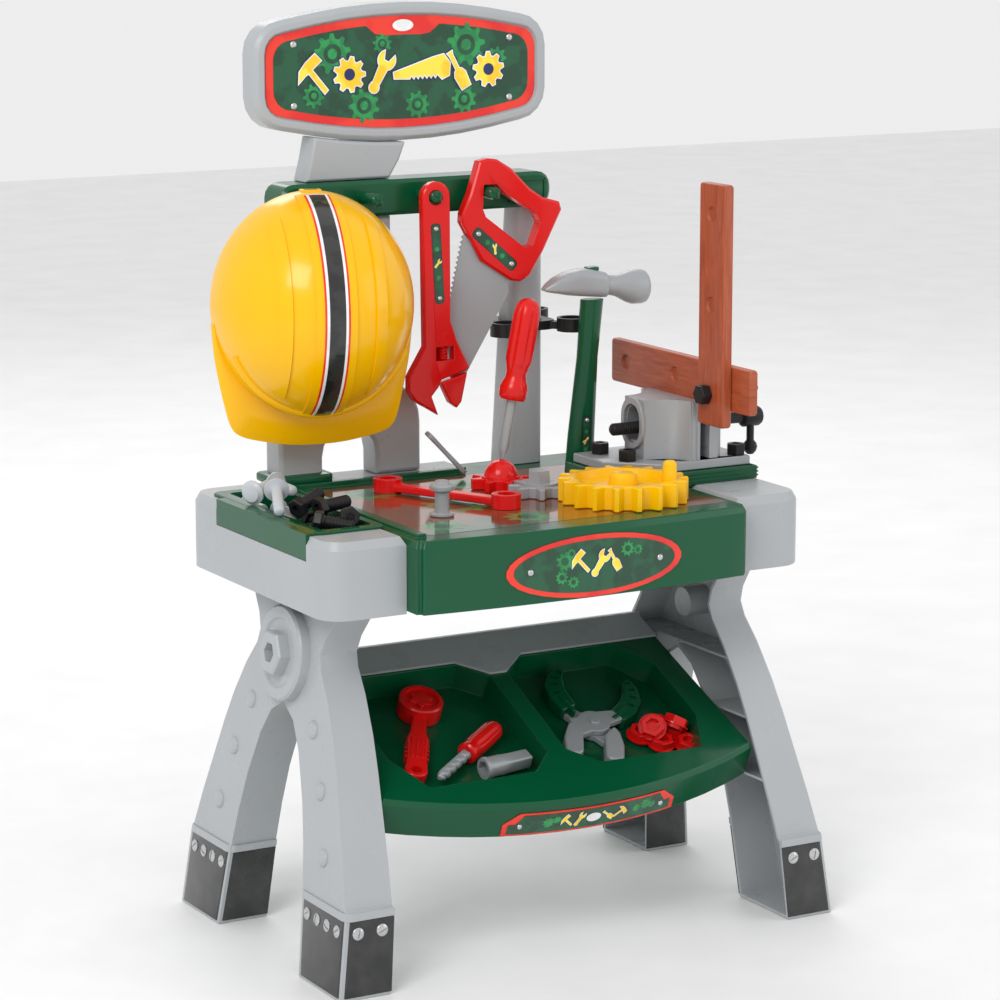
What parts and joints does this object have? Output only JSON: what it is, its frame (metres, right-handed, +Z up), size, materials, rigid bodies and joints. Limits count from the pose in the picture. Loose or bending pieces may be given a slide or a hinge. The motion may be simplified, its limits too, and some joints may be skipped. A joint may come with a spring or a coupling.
{
  "type": "toy tool bench",
  "caption": "Free-standing play tool bench with splayed legs, tilted two-bay shelf, peg rail, sign, vise, meshing gears and loose play tools.",
  "frame": {"origin": "middle of the bounding box at floor level", "axes": "+Z up, +X to the right of a child at the bench, +Y to the back, the side with the peg rail"},
  "size_m": [0.499, 0.3343, 0.78],
  "materials": {
    "green_plastic": "gloss",
    "grey_plastic": "satin",
    "silver_plastic": "satin",
    "red_plastic": "gloss",
    "yellow_plastic": "gloss",
    "black_plastic": "satin",
    "brown_plastic": "matte",
    "sticker": "gloss"
  },
  "bodies": {
    "bench": {"worktop": "green_plastic", "parts_tray": "green_plastic", "vise_plinth": "green_plastic", "peg_rail": "green_plastic", "shelf_tray": "green_plastic", "left_leg_panel": "grey_plastic", "right_leg_panel": "grey_plastic", "left_end_cap": "grey_plastic", "right_end_cap": "grey_plastic", "rear_ledge": "grey_plastic", "left_upright": "grey_plastic", "right_upright": "grey_plastic", "sign_bracket": "grey_plastic", "sign_frame": "grey_plastic", "rear_brace": "grey_plastic", "vise_base": "grey_plastic", "vise_bolt_1": "black_plastic", "vise_bolt_2": "black_plastic", "vise_bolt_3": "black_plastic", "vise_bolt_4": "black_plastic", "plank_bolt": "black_plastic", "tool_rack": "black_plastic", "plank_cross": "brown_plastic", "sign_label": "sticker", "front_label": "sticker", "shelf_label": "sticker"},
    "yellow_gear_body": {"yellow_gear": "yellow_plastic"},
    "grey_gear_body": {"grey_gear": "silver_plastic"},
    "red_gear_body": {"red_gear": "red_plastic"},
    "vise_jaw_body": {"vise_moving_jaw": "grey_plastic"},
    "vise_screw_body": {"vise_screw": "black_plastic"},
    "vise_bar_body": {"vise_bar": "black_plastic"},
    "plank_body": {"plank_upright": "brown_plastic"},
    "helmet_body": {"helmet": "yellow_plastic"},
    "wrench_body_body": {"wrench_body": "red_plastic"},
    "wrench_worm_body": {"wrench_worm": "red_plastic"},
    "wrench_jaw_body": {"wrench_jaw": "red_plastic"},
    "saw_body": {"saw_handle": "red_plastic", "saw_blade": "silver_plastic"},
    "hammer_body": {"hammer_head": "silver_plastic", "hammer_handle": "green_plastic"},
    "screwdriver_body": {"screwdriver_handle": "red_plastic", "screwdriver_shaft": "silver_plastic"},
    "spanner_body": {"ring_spanner": "red_plastic"},
    "stud_body": {"standing_stud": "silver_plastic"},
    "key_body": {"leaning_key": "silver_plastic"},
    "tray_stud_1_body": {"tray_stud_1": "silver_plastic"},
    "tray_screw_1_body": {"tray_screw_1": "black_plastic"},
    "tray_stud_2_body": {"tray_stud_2": "silver_plastic"},
    "tray_screw_2_body": {"tray_screw_2": "black_plastic"},
    "tray_stud_3_body": {"tray_stud_3": "silver_plastic"},
    "tray_screw_3_body": {"tray_screw_3": "black_plastic"},
    "ratchet_body": {"ratchet_wrench": "red_plastic"},
    "drill_body": {"drill_handle": "red_plastic", "drill_bit": "silver_plastic"},
    "socket_body": {"socket": "silver_plastic"},
    "pliers_left_body": {"pliers_left": "silver_plastic"},
    "pliers_right_body": {"pliers_right": "green_plastic"},
    "hex_nut_1_body": {"hex_nut_1": "red_plastic"},
    "hex_nut_2_body": {"hex_nut_2": "red_plastic"}
  },
  "joints": [
    {"name": "yellow_spin", "type": "hinge", "parent": "bench", "child": "yellow_gear_body", "pos_m": [0.0655, -0.08315, 0.3665], "axis": [0, 0, 1], "continuous": true},
    {"name": "grey_spin", "type": "hinge", "parent": "bench", "child": "grey_gear_body", "pos_m": [0.0148, -0.02875, 0.3665], "axis": [0, 0, 1], "continuous": true},
    {"name": "red_spin", "type": "hinge", "parent": "bench", "child": "red_gear_body", "pos_m": [0.0021, 0.01545, 0.3665], "axis": [0, 0, 1], "continuous": true},
    {"name": "vise_jaw_slide", "type": "slide", "parent": "bench", "child": "vise_jaw_body", "axis": [1, 0, 0], "range_m": [0, 0.008]},
    {"name": "vise_screw_turn", "type": "hinge", "parent": "vise_jaw_body", "child": "vise_screw_body", "pos_m": [0.0955, -0.01315, 0.414], "axis": [1, 0, 0], "range_deg": [0, 725]},
    {"name": "vise_bar_slide", "type": "slide", "parent": "vise_screw_body", "child": "vise_bar_body", "axis": [0, 0, 1], "range_m": [-0.01, 0.01]},
    {"name": "plank_swing", "type": "hinge", "parent": "bench", "child": "plank_body", "pos_m": [0.1527, -0.07715, 0.45], "axis": [1, 0, 0], "range_deg": [-25, 15]},
    {"name": "helmet_off", "type": "slide", "parent": "bench", "child": "helmet_body", "axis": [0, -1, 0], "range_m": [0, 0.06]},
    {"name": "wrench_off", "type": "slide", "parent": "bench", "child": "wrench_body_body", "axis": [0, -1, 0], "range_m": [0, 0.02]},
    {"name": "wrench_worm_turn", "type": "hinge", "parent": "wrench_body_body", "child": "wrench_worm_body", "pos_m": [-0.0207, 0.0776, 0.478], "axis": [0, 0, 1], "range_deg": [0, 1085]},
    {"name": "wrench_jaw_slide", "type": "slide", "parent": "wrench_body_body", "child": "wrench_jaw_body", "axis": [0.9676, 0, 0.2524], "range_m": [0, 0.006]},
    {"name": "saw_swing", "type": "hinge", "parent": "bench", "child": "saw_body", "pos_m": [0.0275, 0.08485, 0.615], "axis": [0, 1, 0], "range_deg": [0, 8]},
    {"name": "hammer_lift", "type": "slide", "parent": "bench", "child": "hammer_body", "axis": [0, 0, 1], "range_m": [0, 0.05]},
    {"name": "screwdriver_lift", "type": "slide", "parent": "bench", "child": "screwdriver_body", "axis": [0.1994, 0, 0.9799], "range_m": [0, 0.05]},
    {"name": "spanner_lift", "type": "slide", "parent": "bench", "child": "spanner_body", "axis": [0, 0, 1], "range_m": [0, 0.03]},
    {"name": "stud_lift", "type": "slide", "parent": "bench", "child": "stud_body", "axis": [0, 0, 1], "range_m": [0, 0.03]},
    {"name": "key_lift", "type": "slide", "parent": "bench", "child": "key_body", "axis": [0, 0, 1], "range_m": [0, 0.012]},
    {"name": "tray_stud_1_lift", "type": "slide", "parent": "bench", "child": "tray_stud_1_body", "axis": [0, 0, 1], "range_m": [0, 0.025]},
    {"name": "tray_stud_2_lift", "type": "slide", "parent": "bench", "child": "tray_stud_2_body", "axis": [0, 0, 1], "range_m": [0, 0.025]},
    {"name": "tray_stud_3_lift", "type": "slide", "parent": "bench", "child": "tray_stud_3_body", "axis": [0, 0, 1], "range_m": [0, 0.025]},
    {"name": "tray_screw_1_lift", "type": "slide", "parent": "bench", "child": "tray_screw_1_body", "axis": [0, 0, 1], "range_m": [0, 0.025]},
    {"name": "tray_screw_2_lift", "type": "slide", "parent": "bench", "child": "tray_screw_2_body", "axis": [0, 0, 1], "range_m": [0, 0.025]},
    {"name": "tray_screw_3_lift", "type": "slide", "parent": "bench", "child": "tray_screw_3_body", "axis": [0, 0, 1], "range_m": [0, 0.025]},
    {"name": "ratchet_lift", "type": "slide", "parent": "bench", "child": "ratchet_body", "axis": [0, -0.4067, 0.9135], "range_m": [0, 0.03]},
    {"name": "drill_lift", "type": "slide", "parent": "bench", "child": "drill_body", "axis": [0, -0.4067, 0.9135], "range_m": [0, 0.03]},
    {"name": "socket_lift", "type": "slide", "parent": "bench", "child": "socket_body", "axis": [0, -0.4067, 0.9135], "range_m": [0, 0.03]},
    {"name": "pliers_lift", "type": "slide", "parent": "bench", "child": "pliers_left_body", "axis": [0, -0.4067, 0.9135], "range_m": [0, 0.03]},
    {"name": "pliers_open", "type": "hinge", "parent": "pliers_left_body", "child": "pliers_right_body", "pos_m": [0.0525, -0.05446, 0.15905], "axis": [0, -0.4067, 0.9135], "range_deg": [-6, 6]},
    {"name": "hex_nut_1_lift", "type": "slide", "parent": "bench", "child": "hex_nut_1_body", "axis": [0, -0.4067, 0.9135], "range_m": [0, 0.03]},
    {"name": "hex_nut_2_lift", "type": "slide", "parent": "bench", "child": "hex_nut_2_body", "axis": [0, -0.4067, 0.9135], "range_m": [0, 0.03]}
  ],
  "couplings": [
    {"joint": "grey_spin", "follows": "yellow_spin", "ratio": -2.25},
    {"joint": "red_spin", "follows": "yellow_spin", "ratio": 2.25},
    {"joint": "vise_screw_turn", "follows": "vise_jaw_slide", "rad_per_m": 1570.8},
    {"joint": "wrench_worm_turn", "follows": "wrench_jaw_slide", "rad_per_m": 3141.6}
  ]
}
